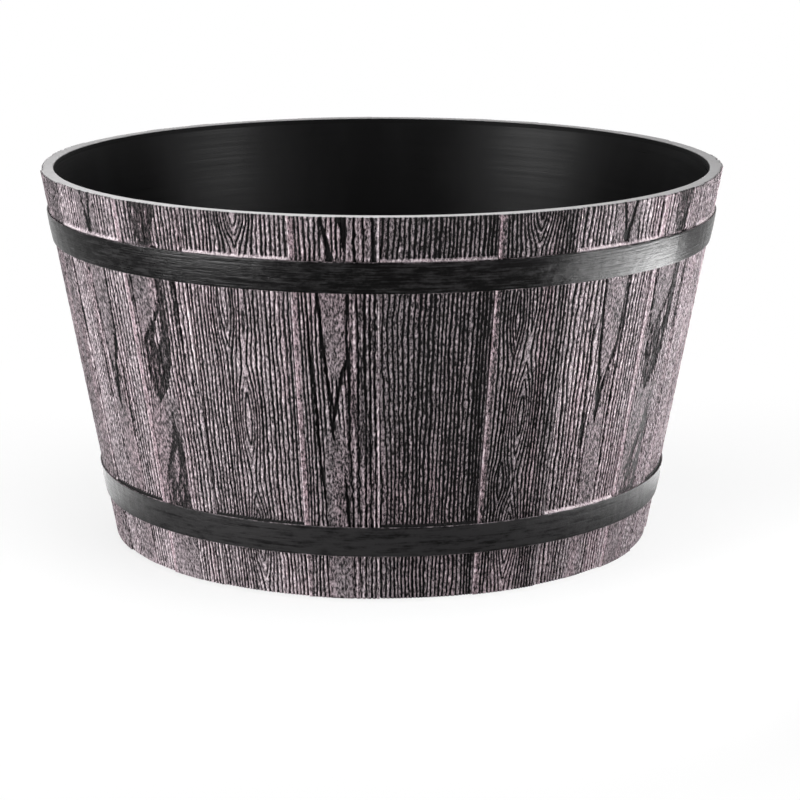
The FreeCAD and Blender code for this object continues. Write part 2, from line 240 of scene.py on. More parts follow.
KNOTTED_ISLANDS = (
    ((138, 144, 152, 160), (-1.5, -1.0, -0.3, 0.7), (0.1, 0.7, 0.7, 0.1)),
    ((130, 138, 147), (-3.7, -3.5, -2.6), (0.1, 0.3, 0.1)),
    ((116, 124, 132), (-2.5, -2.4, -2.4), (0.06, 0.18, 0.06)),
    ((123, 126, 130), (-1.2, -1.15, -1.1), (0.08, 0.26, 0.08)),
    ((130, 134, 139), (-0.2, -0.15, -0.1), (0.08, 0.24, 0.08)),
    ((118, 123, 129), (-3.6, -3.5, -3.4), (0.06, 0.16, 0.06)),
    ((60, 68, 78), (-1.6, -1.2, -0.4), (0.2, 0.8, 0.15)),
    ((47, 53, 60), (-3.9, -3.9, -3.5), (0.1, 0.4, 0.1)),
    ((48, 52, 57), (-0.9, -0.8, -0.7), (0.1, 0.45, 0.1)),
    ((46, 49, 53), (-2.4, -2.2, -2.1), (0.1, 0.5, 0.1)),
    ((199, 205, 211), (-1.5, -1.5, -1.45), (0.05, 0.25, 0.05)),
    ((207, 212, 217), (0.5, 0.55, 0.6), (0.05, 0.28, 0.05)),
    ((209, 213, 218), (-2.4, -2.3, -2.2), (0.05, 0.25, 0.05)),
    ((203, 207, 211), (-0.6, -0.6, -0.6), (0.05, 0.2, 0.05)),
)

WIDE_GRAINS = (
    Grain(pitch=0.76, cover=-0.27),
    Grain(pitch=0.82, calm=FORKED_FIELDS, bands=FORKED_BANDS),
    Grain(
        pitch=0.76,
        rise=((0, 36, 66, 104, 138, 160, 198, 220), (0.8, -2.2, 0.5, -2.1, 0.5, 0.0, 0.4, -2.6)),
        reach=((0, 40, 104, 141, 190, 220), (2.8, 2.0, 1.9, 2.0, 2.3, 2.9)),
        middle=((0, 70, 130, 220), (0.4, -0.2, 0.1, 0.5)),
        eyes=((-2.4, 168, 1.3, 29, 2.0),),
    ),
)

NARROW_GRAINS = (
    Grain(
        pitch=0.72,
        cover=-0.04,
        calm=SPLIT_FIELDS,
        still=((0, 220), (1.4, 1.4), (7.5, 7.5)),
        bands=SPLIT_BANDS,
        islands=SPLIT_ISLANDS,
    ),
    Grain(
        pitch=0.72,
        cover=-0.19,
        rise=((0, 34, 66, 108, 144, 170, 198, 220), (0.8, -2.1, 0.5, -2.1, 0.5, 0.0, 0.4, -2.1)),
        reach=((0, 74, 108, 142, 220), (2.6, 2.1, 2.0, 2.1, 2.7)),
        middle=((0, 74, 112, 135, 220), (-0.8, -0.9, -0.5, -0.4, -0.3)),
        eyes=((-2.8, 164, 1.1, 24, 1.9), (-3.4, 67, 0.8, 14, 1.1)),
    ),
    Grain(pitch=0.80, calm=KNOTTED_FIELDS, bands=KNOTTED_BANDS, islands=KNOTTED_ISLANDS),
)


# Layers of noise: (amount, degrees across, millimetres up, number of the draw)
RING_WAVES = ((0.80, 8.0, 75.0, 2), (0.20, 1.6, 18.0, 0), (0.12, 0.7, 5.0, 1), (0.05, 0.4, 2.0, 9))
EDGE_WAVES = ((0.16, 0.5, 3.0, 6), (0.07, 0.3, 1.8, 10))

FIELD_ENDS, FIELD_SOFT = 3.0, 0.25      # millimetres and degrees over which a field fades out
BAND_ENDS, BAND_IN, BAND_OUT = 2.0, 0.12, 0.14      # the same for a band, inside its edge and outside
EYE_REACH = 1.5                 # how far an eye pushes the rings aside, in its half widths
ARCH_ROUND = 0.03               # square degrees; rounds the arches' tips
GROOVE_DEPTHS = (0.62, 1.0)     # least and greatest share of the ring depth
GROOVE_WIDTHS = (0.75, 1.3)     # least and greatest width, as a multiple of the usual one
GROOVE_WALL = (0.26, 0.84)      # millimetres from a groove's middle to its wall's foot and top
CROWDED_WALL = (0.13, 0.40)     # the same in rings, where the rings crowd
LEAST_SLOPE = 0.15              # rings to a millimetre; flatter places count as this
CALM_DAMPING = 0.92             # share of a groove's depth that a calm field takes away
STILL_DAMPING = 0.45            # the same for a field with faint rings

# Paint: more by the foot as painted bounce light from the floor, less in calm fields, swayed by the
# pebbling, and on painted and bare ramps; a painted ramp over the lower hoop is a painted highlight
FOOT_BOUNCE_LIGHT, CALM_LOSS, SPECK_PAINT, LEDGE_PAINT_AND_HIGHLIGHT, BARE_LEDGE = 0.12, 0.26, 0.14, 0.5, -0.7

# Paint along the long edges: (amount, degrees from the edge at which it starts to fade and is gone); a wide
# stave's right edge loses paint as thinner paint and painted shade beside the proud narrow stave, and a
# narrow one's left edge gains it as paint and a painted highlight of its lit side
WIDE_LEFT, WIDE_RIGHT_PAINT_AND_SHADE, WIDE_STRIP = (0.10, 0.2, 0.8), (-0.04, 0.4, 1.6), (0.15, 0.3, 1.2)
NARROW_LEFT_PAINT_AND_HIGHLIGHT, NARROW_RIGHT, NARROW_STRIP = (0.45, 0.08, 0.34), (0.4, 0.1, 0.4), (1.0, 0.6, 1.4)
STRIP_LOSS, STRIP_DAMPING = 0.16, 0.9       # paint and share of a groove's depth that a narrow strip loses

EDGE_COLUMNS = (0.0, 0.18, 0.45)    # on a stave's rounded long edge, as shares of its rounding
HAIR, WELD = 2e-5, 2e-6             # metres; the step up to a hoop seat, and points that become one
RIM_COLUMNS, TUB_COLUMNS = 220, 120     # for a pair of staves, and for a drain hole
RIM_ROWS = (0.0, 0.0007, 0.0014)    # metres above its underside, on the rim's outer face
RIM_LANES = (0.06, 0.94, 8)         # rows on the rim's flat top: the first, the last and how many
RIM_TURNS, HOOP_TURNS = 5, 4        # points on a rounded edge
TUB_ROWS, WALL_ROWS, BEND_ROWS = 8, 12, 8       # up the tub's outside, down its inside, round its corner
HOOP_COLUMNS, HOOP_ROWS, HOOP_EDGE = 720, 26, 0.00035       # the last is its rounding in metres
HOOP_LINES, HOOP_WAVES = 0.00004, 0.00008       # metres; relief along a hoop and round it
LINE_PITCH, WAVE_PITCH = 0.7, 6.0               # millimetres up the hoop for one step of that relief
HOOP_FADE = 0.0008                  # metres from a hoop's edge over which the relief comes in
HOOP_CROWN, HOOP_SINK = 0.00025, 0.00012        # metres; how far its edges and its face stand back
FLOOR_MIDDLE, FLOOR_EDGE = 0.03, 0.135          # metres; radii between which the drain holes lie
SECTOR_STEPS = 8                    # along a straight side of a drain hole's sector
HOLE_RINGS = (0.0, 0.015, 0.06, 0.2, 0.45, 0.75, 1.0)       # from a drain hole to its sector's outline


# Shapes as arrays

def ease(low, high, x):
    """Smooth step: 0 below low, 1 above high, a cubic between."""
    t = np.clip((x - low) / (high - low), 0.0, 1.0)
    return t * t * (3.0 - 2.0 * t)


def fall(low, high, x):
    """The smooth step turned round: 1 below low, 0 above high."""
    return 1 - ease(low, high, x)


def drift(u, v, seed):
    """Smooth noise from -1 to 1: random values on a unit lattice, eased from node to node."""
    table = np.random.default_rng(seed).uniform(-1.0, 1.0, (LATTICE, LATTICE))
    low_u, low_v = np.floor(u).astype(int), np.floor(v).astype(int)
    share_u, share_v = ease(0.0, 1.0, u - low_u), ease(0.0, 1.0, v - low_v)
    u0, u1 = low_u % LATTICE, (low_u + 1) % LATTICE
    v0, v1 = low_v % LATTICE, (low_v + 1) % LATTICE
    near = table[u0, v0] * (1 - share_u) + table[u1, v0] * share_u
    far = table[u0, v1] * (1 - share_u) + table[u1, v1] * share_u
    return near * (1 - share_v) + far * share_v


def strayed(start, waves, across, height, seed):
    """A place or a phase with layers of drift added to it."""
    for amount, wide, tall, draw in waves:
        start = start + amount * drift(across / wide, height / tall, seed + draw)
    return start


def circle(count):
    """Evenly spaced angles once round the axis."""
    return np.arange(count) * 2 * math.pi / count


def cone(sizes, height):
    """Outside radius of the pot at a height: a straight line from the base radius to the top radius."""
    return sizes.base_radius + (sizes.top_radius - sizes.base_radius) * height / sizes.height


def hoop_edges(sizes):
    """Lower and upper edge of the lower hoop, then of the upper one."""
    half = sizes.hoop_width / 2
    return [(middle - half, middle + half) for middle in (sizes.lower_hoop, sizes.upper_hoop)]


def ends(heights, soft, height):
    """1 from the first of some heights to the last, falling softly to 0 below and above them."""
    return ease(heights[0] - soft, heights[0], height) * fall(heights[-1], heights[-1] + soft, height)


def within(knots, across, height):
    """1 between a left and a right edge that change with height, falling softly to 0 outside them."""
    heights, left, right = knots
    low, high = np.interp(height, heights, left), np.interp(height, heights, right)
    left_side = ease(low - FIELD_SOFT, low + FIELD_SOFT, across)
    right_side = fall(high - FIELD_SOFT, high + FIELD_SOFT, across)
    return left_side * right_side * ends(heights, FIELD_ENDS, height)


def beside(heights, places, halves, across, height):
    """1 on a line whose place and half width change with height, falling to 0 just outside that width."""
    half = np.interp(height, heights, halves)
    off = np.abs(across - np.interp(height, heights, places))
    return fall(half - BAND_IN, half + BAND_OUT, off) * ends(heights, BAND_ENDS, height)


def glide(x, knots):
    """Value at x from (places, values) knots, eased from each knot to the next."""
    places, values = (np.asarray(part, dtype=float) for part in knots)
    index = np.clip(np.searchsorted(places, x, side="right") - 1, 0, len(places) - 2)
    share = ease(0.0, 1.0, (x - places[index]) / (places[index + 1] - places[index]))
    return values[index] * (1 - share) + values[index + 1] * share


def figure(grain, across, height, seed):
    """Relief of a board's grain: (groove, band, calm), each 0 on the plain face and 1 at its fullest.

    Rings are contour lines of a phase: the place across over the ring pitch, for arches its distance
    from the middle line plus the arches' rise, with slow and fast drift. An eye pushes the rings aside
    and fills the lens it opens with rings of its own. A groove follows each whole number of the phase,
    at one width in millimetres: the phase's distance from that number over its slope, or narrower where
    the rings crowd. Calm fields damp the grooves, and bands follow their lines.
    """
    place = across + height * 0.0
    swell = 0.0
    for centre, level, half, tall, rings in grain.eyes:
        off, lens = np.abs(place - centre), 1 - ((height - level) / tall) ** 2
        swell = swell + rings * np.clip(lens - off / half, 0.0, None)
        gap = half * np.clip(lens, 0.0, None)
        push = gap * np.exp(-np.clip(off - gap, 0.0, None) / (EYE_REACH * half))
        place = centre + np.sign(place - centre) * np.clip(off - push, 0.0, None)
    if grain.rise:
        off = place - glide(height, grain.middle)
        fade = np.exp(-(off / glide(height, grain.reach)) ** 2)
        phase = np.sqrt(off ** 2 + ARCH_ROUND) / grain.pitch + glide(height, grain.rise) * fade
    else:
        phase = place / grain.pitch + 0.35 * drift(across / 2.3, across * 0.0, seed + 3)
    phase = strayed(phase + swell, RING_WAVES, across, height, seed)
    index = np.round(phase).astype(int)
    lines = np.random.default_rng(seed + 4)
    depth = lines.uniform(*GROOVE_DEPTHS, LATTICE)[index % LATTICE]
    width = lines.uniform(*GROOVE_WIDTHS, LATTICE)[index % LATTICE]
    depth = depth * (0.86 + 0.14 * drift(index * 0.7, height / 22.0, seed + 5))
    aside = np.gradient(phase, across[0], axis=1) / DEGREE
    slope = np.hypot(aside, np.gradient(phase, height[:, 0], axis=0))
    off = np.abs(phase - index) / width
    wall = ease(*GROOVE_WALL, off / np.maximum(slope, LEAST_SLOPE))
    groove = depth * (1 - np.maximum(wall, ease(*CROWDED_WALL, off)))

    ragged = strayed(across, EDGE_WAVES, across, height, seed)
    calm = np.zeros_like(across)
    for knots in grain.calm:
        calm = np.maximum(calm, within(knots, ragged, height))
    groove = groove * (1 - CALM_DAMPING * calm)
    if grain.still:
        groove = groove * (1 - STILL_DAMPING * within(grain.still, across, height))
    band = np.zeros_like(across)
    for heights, places, halves, strength in grain.bands:
        band = np.maximum(band, strength * beside(heights, places, halves, ragged, height))
    for heights, places, halves in grain.islands:
        band = band * (1 - beside(heights, places, halves, ragged, height))
    return groove, band, calm


class Board(NamedTuple):
    """One stave's place in the ring."""
    name: str
    wide: bool
    number: int
    middle: float       # angle of its middle from +X
    half: float         # half of its angle


def boards(sizes, wide):
    """The narrow or the wide staves, evenly about the axis, each narrower by the joint gap."""
    pair = 2 * math.pi / sizes.pairs
    share = sizes.wide_share if wide else 1 - sizes.wide_share
    half = (pair * share - sizes.gap / sizes.base_radius) / 2
    kind = "wide" if wide else "narrow"
    first = sizes.phase + (pair / 2 if wide else 0.0)
    return [Board(f"{kind}_stave_{n + 1:02d}", wide, n, first + n * pair, half) for n in range(sizes.pairs)]


def board_grain(sizes, board):
    """The figures repeat every third pair, counted both ways from the front."""
    turn = (board.number + sizes.pairs // 2) % sizes.pairs - sizes.pairs // 2
    return (WIDE_GRAINS if board.wide else NARROW_GRAINS)[turn % 3]


def along(edge, off):
    """Paint along a long edge, as the constants give it, at some degrees off that edge; on a wide stave's
    right edge it also stands for painted shade, on a narrow one's left edge for a painted highlight.
    """
    amount, start, end = edge
    return amount * fall(start, end, off)


def board_face(sizes, grain_sizes, board, angle, height):
    """Outer face of a stave: (offset from the cone, paint, rose), over angles from its middle and heights.

    A wide stave is set back by the step and comes out to a seat under each hoop with a ramp above it.
    The grain's grooves and bands go in from that face, and the long edges are rounded. Paint is about 1
    on the raised grain. It is raised by the foot as painted bounce light from the floor, and a little lower
    by a wide stave's right edge as thinner paint and painted shade beside the proud narrow stave. It is
    heavy on a narrow one's edges, the left one partly as a painted highlight of its lit side, and on the
    ramps over the upper hoop. Of the ramps over the lower hoop, those of every fifth wide stave are
    painted as a painted highlight and the others are bare.
    """
    across, level = np.degrees(angle), height * 1000.0
    seed = 100 * board.number + (50 if board.wide else 0)
    grain = board_grain(sizes, board)
    groove, band, calm = figure(grain, across, level, seed)
    half = math.degrees(board.half)
    left, right = across + half, half - across

    offset = np.zeros_like(across)
    plain = np.zeros_like(across)
    if board.wide:
        seat = np.zeros_like(across)
        for low, high in hoop_edges(sizes):
            ramp = 1 - np.clip((height - high) / sizes.seat_ramp, 0.0, 1.0)
            seat = np.maximum(seat, np.where(height >= low, ramp, 0.0))
        offset = -sizes.stave_step * (1 - seat)
        plain = ease(0.05, 0.5, seat)
        # A wide stave's right edge: thinner paint and painted shade beside the proud narrow stave.
        edge_paint_light_and_shade = along(WIDE_RIGHT_PAINT_AND_SHADE, right) + along(WIDE_LEFT, left)
        strip = along(WIDE_STRIP, left)
    else:
        strip = along(NARROW_STRIP, left)
        groove = groove * (1 - STRIP_DAMPING * strip)
        band = band * (1 - strip)
        # A narrow stave's left edge: dry-brushed paint and a painted highlight of its lit side.
        edge_paint_light_and_shade = along(NARROW_LEFT_PAINT_AND_HIGHLIGHT, left) - STRIP_LOSS * strip + along(NARROW_RIGHT, right)
    groove, band = groove * (1 - plain), band * (1 - plain)

    speck = drift(across / 0.32, level / 1.8, seed + 7) * (1 - 0.7 * np.maximum(band, plain))
    offset = offset - grain_sizes.depth * groove - (grain_sizes.depth + grain_sizes.band_depth) * band
    offset = offset + grain_sizes.pebble * (speck - 1.0)
    edge = np.clip(np.minimum(left, right) / np.degrees(grain_sizes.edge / sizes.top_radius), 0.0, 1.0)
    offset = offset - grain_sizes.edge * (1 - np.sqrt(1 - (1 - edge) ** 2))

    deep = np.maximum(groove, band)
    # Painted highlight: every fifth wide stave gets a painted ramp over the lower hoop, standing for light
    # caught on that ramp.
    lower_ramp_coat_and_highlight = LEDGE_PAINT_AND_HIGHLIGHT if board.number % 5 == 1 else BARE_LEDGE
    ramp_coat_and_highlight = np.where(height < (sizes.lower_hoop + sizes.upper_hoop) / 2, lower_ramp_coat_and_highlight, LEDGE_PAINT_AND_HIGHLIGHT)
    # Painted bounce light: paint rises by the foot to stand for light bounced up from the floor.
    foot = FOOT_BOUNCE_LIGHT * fall(0.010, 0.035, height)
    paint = 1.0 + grain.cover + foot - deep - CALM_LOSS * calm
    paint = paint + edge_paint_light_and_shade + SPECK_PAINT * speck + ramp_coat_and_highlight * plain
    rose = 0.30 + 0.35 * drift(across / 2.5, level / 60.0, seed + 8) + 0.5 * strip + 0.2 * plain
    return offset, paint, np.clip(rose, 0.0, 1.0)


def quads(rows, columns, wrap_rows=False, wrap_columns=False):
    """Corners of a grid's faces, which look outwards if columns run anticlockwise and rows run up."""
    i = np.arange(rows if wrap_rows else rows - 1)[:, None]
    j = np.arange(columns if wrap_columns else columns - 1)[None, :]
    i_next, j_next = (i + 1) % rows, (j + 1) % columns
    corners = (i * columns + j, i * columns + j_next, i_next * columns + j_next, i_next * columns + j)
    return np.stack(np.broadcast_arrays(*corners), -1).reshape(-1, 4)


def turned(radius, height, angle):
    """Points of a surface about the axis, from arrays of radius, height and angle of one shape."""
    radius, height, angle = np.broadcast_arrays(radius, height, angle)
    return np.stack((radius * np.cos(angle), radius * np.sin(angle), height), -1)


def add_piece(name, points, faces, caps=(), values=None, sharp=math.radians(48), weld=False):
    """A mesh object from points, four-cornered faces and many-cornered caps, with per-point values."""
    mesh = bpy.data.meshes.new(name)
    points = np.asarray(points, dtype=np.float32).reshape(-1, 3)
    corners = np.concatenate([faces.ravel(), *caps]).astype(np.int32)
    lengths = np.concatenate((np.full(len(faces), 4), [len(cap) for cap in caps])).astype(np.int32)
    mesh.vertices.add(len(points))
    mesh.vertices.foreach_set("co", points.ravel())
    mesh.loops.add(len(corners))
    mesh.loops.foreach_set("vertex_index", corners)
    mesh.polygons.add(len(lengths))
    mesh.polygons.foreach_set("loop_start", np.cumsum(lengths, dtype=np.int32) - lengths)
    for key, value in (values or {}).items():
        layer = mesh.attributes.new(key, "FLOAT", "POINT")
        layer.data.foreach_set("value", np.asarray(value, dtype=np.float32).ravel())
    mesh.update(calc_edges=True)
    if weld:
        work = bmesh.new()
        work.from_mesh(mesh)
        bmesh.ops.remove_doubles(work, verts=work.verts, dist=WELD)
        work.to_mesh(mesh)
        work.free()
    mesh.validate()
    mesh.shade_smooth()
    mesh.set_sharp_from_angle(angle=sharp)
    piece = bpy.data.objects.new(name, mesh)
    bpy.context.scene.collection.objects.link(piece)
    return piece


def finish_piece(piece, node, material):
    """Puts a piece in its solid's place: it rides the pot, hides the solid and takes its finish."""
    piece.data.materials.append(material)
    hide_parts(node)
    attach(piece, BODY)


def stave_points(sizes, grain_sizes, board):
    """A stave as a closed loop of rows carried across its width: the embossed face from foot to rim,
    the hook over the tub's flange, and the plain back, each row at one height."""
    count = int(round(2 * board.half / grain_sizes.column_pitch))
    fine = board.half - grain_sizes.edge / sizes.top_radius * np.array(EDGE_COLUMNS)
    even = np.linspace(-1, 1, count) * (fine[-1] - grain_sizes.column_pitch)
    angle = np.concatenate((-fine, even, fine[::-1]))
    top = sizes.height - sizes.rim_thickness
    rows = np.arange(sizes.stave_lift, top, grain_sizes.row_pitch)
    knots = [top]
    for low, high in hoop_edges(sizes):
        knots += [low - HAIR, low, high, high + sizes.seat_ramp]
    rows = np.unique(np.concatenate((rows, knots)))
    offset, paint, rose = board_face(sizes, grain_sizes, board, angle[None, :], rows[:, None])
    face = cone(sizes, rows)[:, None] + offset

    back = sizes.tub_wall - sizes.rim_width + sizes.gap
    hook = cone(sizes, top) - sizes.rim_width + sizes.tub_wall + 2 * sizes.gap + sizes.rib_width
    under = top - sizes.stave_skin
    slot = under - sizes.flange - 2 * sizes.gap
    flange = cone(sizes, slot + sizes.gap) - sizes.stave_step - sizes.stave_skin
    rest = ((hook, top), (hook, under), (flange, under), (flange, slot), (cone(sizes, slot) + back, slot),
            (cone(sizes, sizes.stave_lift) + back, sizes.stave_lift))
    radius = np.concatenate((face, np.repeat([[r] for r, _ in rest], len(angle), axis=1)))
    height = np.concatenate((rows, [z for _, z in rest]))[:, None]
    bare = np.zeros((len(rest), len(angle)))
    points = turned(radius, height, angle[None, :] + board.middle)
    # The paint value also carries painted bounce light by the foot, and painted highlights and shade at
    # some edges and ramps.
    values = {"paint": np.concatenate((paint, bare)), "rose": np.concatenate((rose, bare))}
    loop = np.arange(len(radius)) * len(angle)
    caps = (loop, (loop + len(angle) - 1)[::-1])
    return points, quads(*radius.shape, wrap_rows=True), caps, values


def rim_points(sizes, grain_sizes):
    """The rim as a closed section carried round the axis. Its outer face steps with the staves and takes
    their grain up to the top; the top is flat with rounded edges, and a rib stands under it."""
    count = RIM_COLUMNS * sizes.pairs
    angle = circle(count) + sizes.phase - (1 - sizes.wide_share) * math.pi / sizes.pairs
    low, high, edge = sizes.height - sizes.rim_thickness, sizes.height, sizes.rim_edge
    turn = np.linspace(0, math.pi / 2, RIM_TURNS)
    outer = np.concatenate((low + np.array(RIM_ROWS), high - edge + edge * np.sin(turn)))
    pull = np.concatenate((np.zeros(len(RIM_ROWS)), edge * (1 - np.cos(turn))))
    offset = np.zeros((len(outer), count))
    paint, rose = np.zeros_like(offset), np.zeros_like(offset)
    for board in boards(sizes, True) + boards(sizes, False):
        local = (angle - board.middle + math.pi) % (2 * math.pi) - math.pi
        own = np.abs(local) <= board.half + sizes.gap / sizes.base_radius
        offset[:, own], paint[:, own], rose[:, own] = board_face(
            sizes, grain_sizes, board, local[own][None, :], outer[:, None])
    radius = cone(sizes, outer)[:, None] + offset - pull[:, None]

    lane = np.linspace(*RIM_LANES)[:, None]
    inside = cone(sizes, high) - sizes.rim_width
    top_radius = radius[-1] + (inside + edge - radius[-1]) * lane
    top_height = np.full_like(lane, high)
    inner_turn = turn[::-1][:, None]
    inner_height = high - edge + edge * np.sin(inner_turn)
    inner_radius = cone(sizes, inner_height) - sizes.rim_width + edge * (1 - np.cos(inner_turn))
    rib = cone(sizes, low) - sizes.rim_width + sizes.tub_wall + sizes.gap
    rib_low = low - sizes.stave_skin - sizes.gap
    rest = np.array(((cone(sizes, low) - sizes.rim_width, low), (rib, low), (rib, rib_low),
                     (rib + sizes.rib_width, rib_low), (rib + sizes.rib_width, low)))
    wide = np.ones((1, count))
    radius = np.concatenate((radius, top_radius, inner_radius * wide, rest[:, :1] * wide))
    height = np.concatenate((outer[:, None], top_height, inner_height, rest[:, 1:]))
    spare = np.zeros((len(radius) - len(outer), count))
    wood = np.concatenate((fall(0.15, 0.75, pull / edge)[:, None] * wide, spare))
    inner_lit = ease(0.4, 0.9, np.sin(inner_turn[:, 0]))
    lit = np.concatenate((np.ones(len(outer) + len(lane)), inner_lit, np.zeros(len(rest))))
    values = {"paint": np.concatenate((paint, spare)), "rose": np.concatenate((rose, spare)), "wood": wood,
              "lit": lit[:, None] * wide}
    faces = quads(*radius.shape, wrap_rows=True, wrap_columns=True)
    return turned(radius, height, angle[None, :]), faces, values


def hoop_points(sizes, middle, seed, wear_and_sheen):
    """A hoop as a closed section carried round the staves: a band with rounded edges, whose outer face has
    shallow lines along it and a slow unevenness round it."""
    angle, around = circle(HOOP_COLUMNS), np.ones((1, HOOP_COLUMNS))
    half, inside = sizes.hoop_width / 2, sizes.gap
    turn = np.linspace(0, math.pi / 2, HOOP_TURNS)
    rise, pull = HOOP_EDGE * (1 - np.cos(turn)), HOOP_EDGE * (1 - np.sin(turn))
    flat = np.linspace(-half + HOOP_EDGE, half - HOOP_EDGE, HOOP_ROWS)[1:-1]
    level = np.concatenate((rise - half, flat, half - rise[::-1]))
    bulge = -np.concatenate((pull, np.zeros(len(flat)), pull[::-1]))
    turns, lines = np.degrees(angle)[None, :] * (LATTICE / 360.0), (level * 1000.0)[:, None]
    rough = HOOP_LINES * drift(turns, lines / LINE_PITCH, seed)
    rough = rough + HOOP_WAVES * drift(turns * 4, lines / WAVE_PITCH, seed + 1)
    away = ease(0.0, HOOP_FADE, half - np.abs(level))[:, None]
    heights = middle + level
    crown = HOOP_CROWN * (level / half) ** 2
    face = (cone(sizes, heights) + inside + sizes.hoop_thickness + bulge - crown)[:, None]
    face = face + rough * away - HOOP_SINK
    back = np.array([half, -half])
    radius = np.concatenate((face, (cone(sizes, middle + back) + inside)[:, None] * around))
    height = np.concatenate((heights, middle + back))[:, None]
    lane = np.concatenate((level / half, [1.0, -1.0]))[:, None] * around
    values = {"lane": lane, "wear_and_sheen": np.full_like(lane, wear_and_sheen)}
    faces = quads(*radius.shape, wrap_rows=True, wrap_columns=True)
    return turned(radius, height, angle[None, :]), faces, values


def floor_patch(sizes, inner, outer, level, columns):
    """Floor with drain holes at one level: in each sector, straight lines from a hole's edge to the
    sector's outline, which runs along the outer arc, in along one ray, back along the inner arc and out."""
    sector = 2 * math.pi / sizes.drains
    arc = np.linspace(-sector / 2, sector / 2, columns // sizes.drains + 1)
    ray = np.linspace(outer, inner, SECTOR_STEPS + 1)
    along, back = np.full(len(arc) - 1, outer), np.full(len(arc) - 1, inner)
    reach = np.concatenate((along, ray[:-1], back, ray[::-1][:-1]))
    first, last = np.full(SECTOR_STEPS, arc[0]), np.full(SECTOR_STEPS, arc[-1])
    bearing = np.concatenate((arc[:-1], last, arc[::-1][:-1], first))
    outline = np.stack((reach * np.cos(bearing), reach * np.sin(bearing)), -1)
    middle = np.array((sizes.drain_circle, 0.0))
    away = outline - middle
    rim = middle + sizes.drain_radius * away / np.linalg.norm(away, axis=1, keepdims=True)
    patch = rim + (outline - rim) * np.array(HOLE_RINGS)[:, None, None]
    turns = (np.arange(sizes.drains) * sector)[:, None, None]
    x = patch[..., 0] * np.cos(turns) - patch[..., 1] * np.sin(turns)
    y = patch[..., 0] * np.sin(turns) + patch[..., 1] * np.cos(turns)
    return np.stack((x, y, np.full_like(x, level)), -1)


def tub_points(sizes):
    """The tub: a section turned about the axis from under the floor, round the notched standing ring, up
    the outside with its flange, over the top and down the inside to the floor, then the two faces of the
    floor with its drain holes, the holes' walls and the floor's middle."""
    columns = TUB_COLUMNS * sizes.drains
    angle = circle(columns) - math.pi / sizes.drains
    floor, under = sizes.foot_height + sizes.floor_thickness, sizes.foot_height
    top = sizes.height - sizes.rim_thickness
    skin, outside = -sizes.rim_width, sizes.tub_wall - sizes.rim_width
    foot = cone(sizes, 0.0) + outside
    flange_top = top - sizes.stave_skin - sizes.gap
    flange_low = flange_top - sizes.flange
    flange = cone(sizes, flange_low) - sizes.stave_step - sizes.stave_skin - sizes.gap
    inner, outer = FLOOR_MIDDLE, FLOOR_EDGE
    tilt = math.atan2(sizes.top_radius - sizes.base_radius, sizes.height)
    turn = np.linspace(tilt, math.pi / 2, BEND_ROWS)
    centre_z = floor + sizes.corner
    centre_r = cone(sizes, centre_z - sizes.corner * math.sin(tilt)) + skin - sizes.corner * math.cos(tilt)
    bend = [(centre_r + sizes.corner * math.cos(t), centre_z - sizes.corner * math.sin(t)) for t in turn]
    wall = np.linspace(top, bend[0][1], WALL_ROWS)
    ring = foot - sizes.foot_width
    section = [(outer, under), (ring, under), (ring, 0.0), (foot, 0.0)]
    section += [(cone(sizes, z) + outside, z) for z in np.linspace(under, flange_low, TUB_ROWS)]
    section += [(flange, flange_low), (flange, flange_top), (cone(sizes, flange_top) + outside, flange_top)]
    section += [(cone(sizes, top) + outside, top)]
    section += [(cone(sizes, z) + skin, z) for z in wall[:-1]] + bend + [(outer, floor)]
    section = np.array(section)
    radius = section[:, :1] * np.ones((1, columns))
    height = section[:, 1:] * np.ones((1, columns))
    sector = 2 * math.pi / sizes.drains
    local = (angle + sector / 2) % sector - sector / 2
    notch = np.abs(local) * (foot - sizes.foot_width / 2) < sizes.notch_width / 2
    height[2:4] = np.where(notch, sizes.notch_height, height[2:4])
    shell = turned(radius, height, angle[None, :]).reshape(-1, 3)
    faces = [quads(*radius.shape, wrap_columns=True)]
    points, start = [shell], len(shell)

    patch = floor_patch(sizes, inner, outer, floor, columns)
    rows, around = patch.shape[1:3]
    single = quads(rows, around, wrap_columns=True)
    for level, flip in ((floor, False), (under, True)):
        sheet = patch.copy()
        sheet[..., 2] = level
        points.append(sheet.reshape(-1, 3))
        for n in range(sizes.drains):
            corners = single + start + n * rows * around
            faces.append(corners if flip else corners[:, ::-1])
        start += sheet.size // 3
    upper = len(shell) + np.arange(sizes.drains)[:, None] * rows * around + np.arange(around)
    lower = upper + patch.size // 3
    hole = (upper, np.roll(upper, -1, axis=1), np.roll(lower, -1, axis=1), lower)
    faces.append(np.stack(hole, -1).reshape(-1, 4))
    caps = []
    for level, order in ((floor, 1), (under, -1)):
        points.append(turned(inner, level, angle))
        caps.append((start + np.arange(columns))[::order])
        start += columns
    return np.concatenate(points), np.concatenate(faces), caps


# Finishes

class Wire:
    """A socket that Python's arithmetic extends with Math nodes."""

    def __init__(self, finish, socket):
        self.finish, self.socket = finish, socket

    def _math(self, operation, first, second):
        return self.finish.node("ShaderNodeMath", {"operation": operation}, {0: first, 1: second})

    def __add__(self, other):
        return self._math("ADD", self, other)

    def __sub__(self, other):
        return self._math("SUBTRACT", self, other)

    def __rsub__(self, other):
        return self._math("SUBTRACT", other, self)

    def __mul__(self, other):
        return self._math("MULTIPLY", self, other)

    __radd__, __rmul__ = __add__, __mul__


